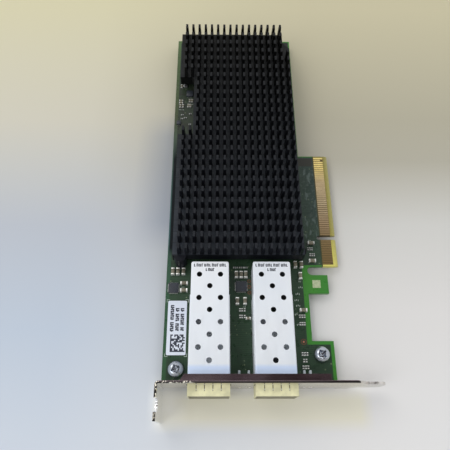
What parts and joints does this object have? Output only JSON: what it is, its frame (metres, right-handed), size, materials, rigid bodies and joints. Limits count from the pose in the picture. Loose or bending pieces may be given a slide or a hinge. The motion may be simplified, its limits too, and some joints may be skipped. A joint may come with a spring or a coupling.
{
  "type": "network interface card",
  "caption": "Two-port network interface card: green board with gold edge connector, black pin-fin heatsink, metal port cages and a full-height slot bracket.",
  "frame": {"origin": "edge of the gold fingers, at the middle of the key notch, on the board's component side", "axes": "+X is the way the card is pushed into its slot, +Y runs along the card away from the bracket, +Z leaves the component side"},
  "size_m": [0.0795, 0.1794, 0.0184],
  "materials": {
    "board_laminate": "green solder mask over fibreglass",
    "gold_plate": "gold plating",
    "bracket_steel": "bright nickel-plated steel sheet",
    "screw_steel": "zinc-plated steel",
    "cage_metal": "bright tin-plated sheet",
    "ring_metal": "bright spring sheet",
    "connector_plastic": "moulded black plastic",
    "black_anodise": "black anodised aluminium",
    "pad_silicone": "soft silicone pad",
    "lid_metal": "matte nickel",
    "chip_epoxy": "moulded epoxy",
    "label_paper": "white label stock",
    "light_lens": "clear moulded resin",
    "ceramic_tan": "fired ceramic",
    "tin_plate": "tinned ends",
    "resistor_black": "glazed film"
  },
  "bodies": {
    "root": {"circuit_board": "board_laminate", "edge_contacts_top": "gold_plate", "edge_contacts_bottom": "gold_plate", "bracket": "bracket_steel", "bracket_screws": "screw_steel", "cage_cover_a": "cage_metal", "cage_cover_b": "cage_metal", "cage_base_a": "cage_metal", "cage_base_b": "cage_metal", "emi_ring_a": "ring_metal", "emi_ring_b": "ring_metal", "host_connector_a": "connector_plastic", "host_connector_b": "connector_plastic", "host_contacts_a": "gold_plate", "host_contacts_b": "gold_plate", "heatsink": "black_anodise", "heatsink_screws": "screw_steel", "thermal_pad": "pad_silicone", "controller_substrate": "board_laminate", "controller_lid": "lid_metal", "power_inductors": "chip_epoxy", "regulator_chips": "chip_epoxy", "port_chip": "chip_epoxy", "power_chip": "chip_epoxy", "flash_chip": "chip_epoxy", "oscillator": "lid_metal", "sensor_chip": "chip_epoxy", "label": "label_paper", "status_lights": "light_lens", "capacitor_bodies": "ceramic_tan", "capacitor_terminals": "tin_plate", "resistor_bodies": "resistor_black", "resistor_terminals": "tin_plate", "solder_side_capacitors": "ceramic_tan", "solder_side_terminals": "tin_plate", "solder_side_chips": "chip_epoxy"}
  },
  "joints": []
}
